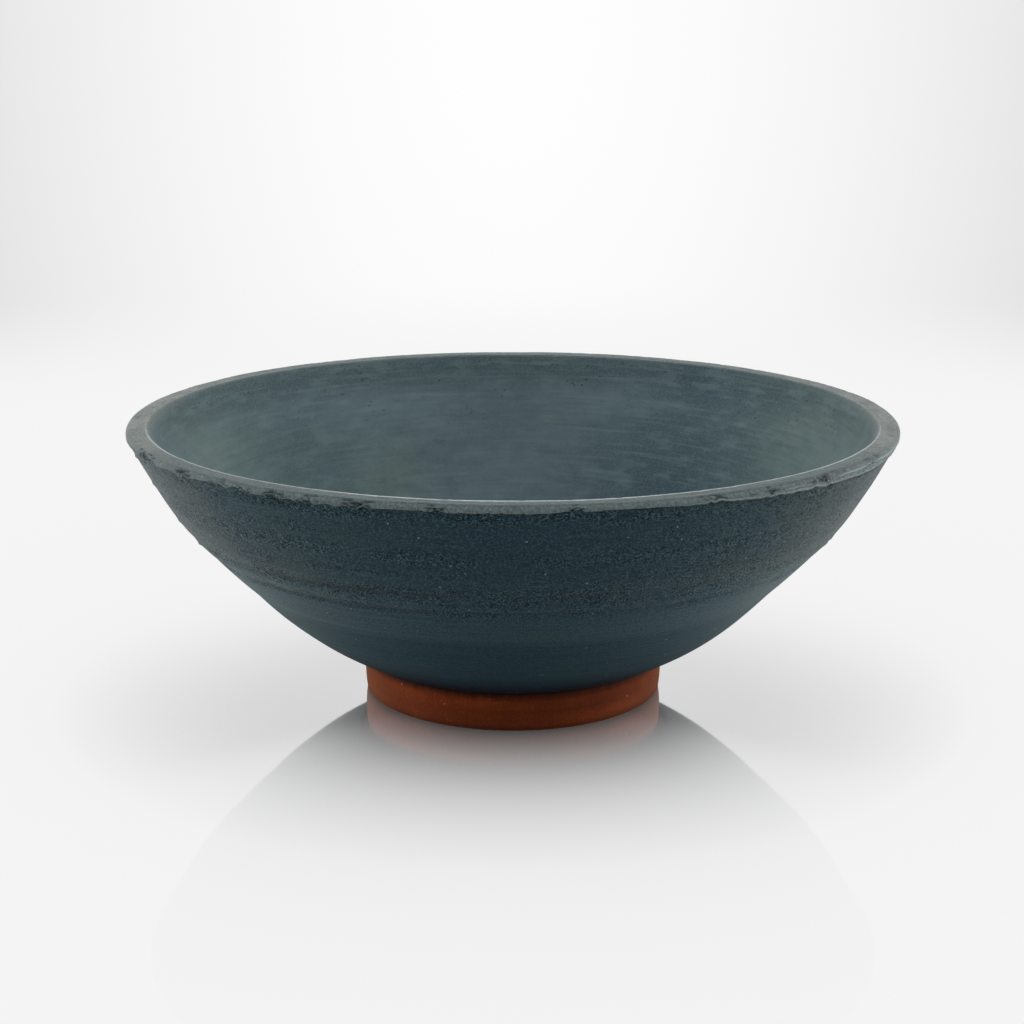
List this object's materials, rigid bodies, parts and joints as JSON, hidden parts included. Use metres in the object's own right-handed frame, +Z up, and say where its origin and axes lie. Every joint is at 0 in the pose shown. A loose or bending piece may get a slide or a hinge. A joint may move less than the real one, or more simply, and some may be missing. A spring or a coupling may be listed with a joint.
{
  "type": "bowl",
  "caption": "Wide footed bowl in terracotta with a matt blue-green coat inside and outside, a rounded lip and a bare clay foot ring.",
  "frame": {"origin": "centre of the circle that the foot ring rests on, on the turning axis", "axes": "+Z up along the turning axis, out of the bowl's mouth; the bowl is round, and +X is the right-hand side in the picture, which looks along +Y"},
  "size_m": [0.2, 0.2, 0.0738],
  "materials": {
    "bowl_clay": "matte",
    "foot_clay": "matte",
    "dried_slip": "matte",
    "inside_coat": "matte",
    "outside_coat": "matte"
  },
  "bodies": {
    "root": {"clay_bowl": "bowl_clay", "foot_ring": "foot_clay", "luting_slip": "dried_slip", "inside_coat": "inside_coat", "outside_coat": "outside_coat"}
  },
  "joints": []
}
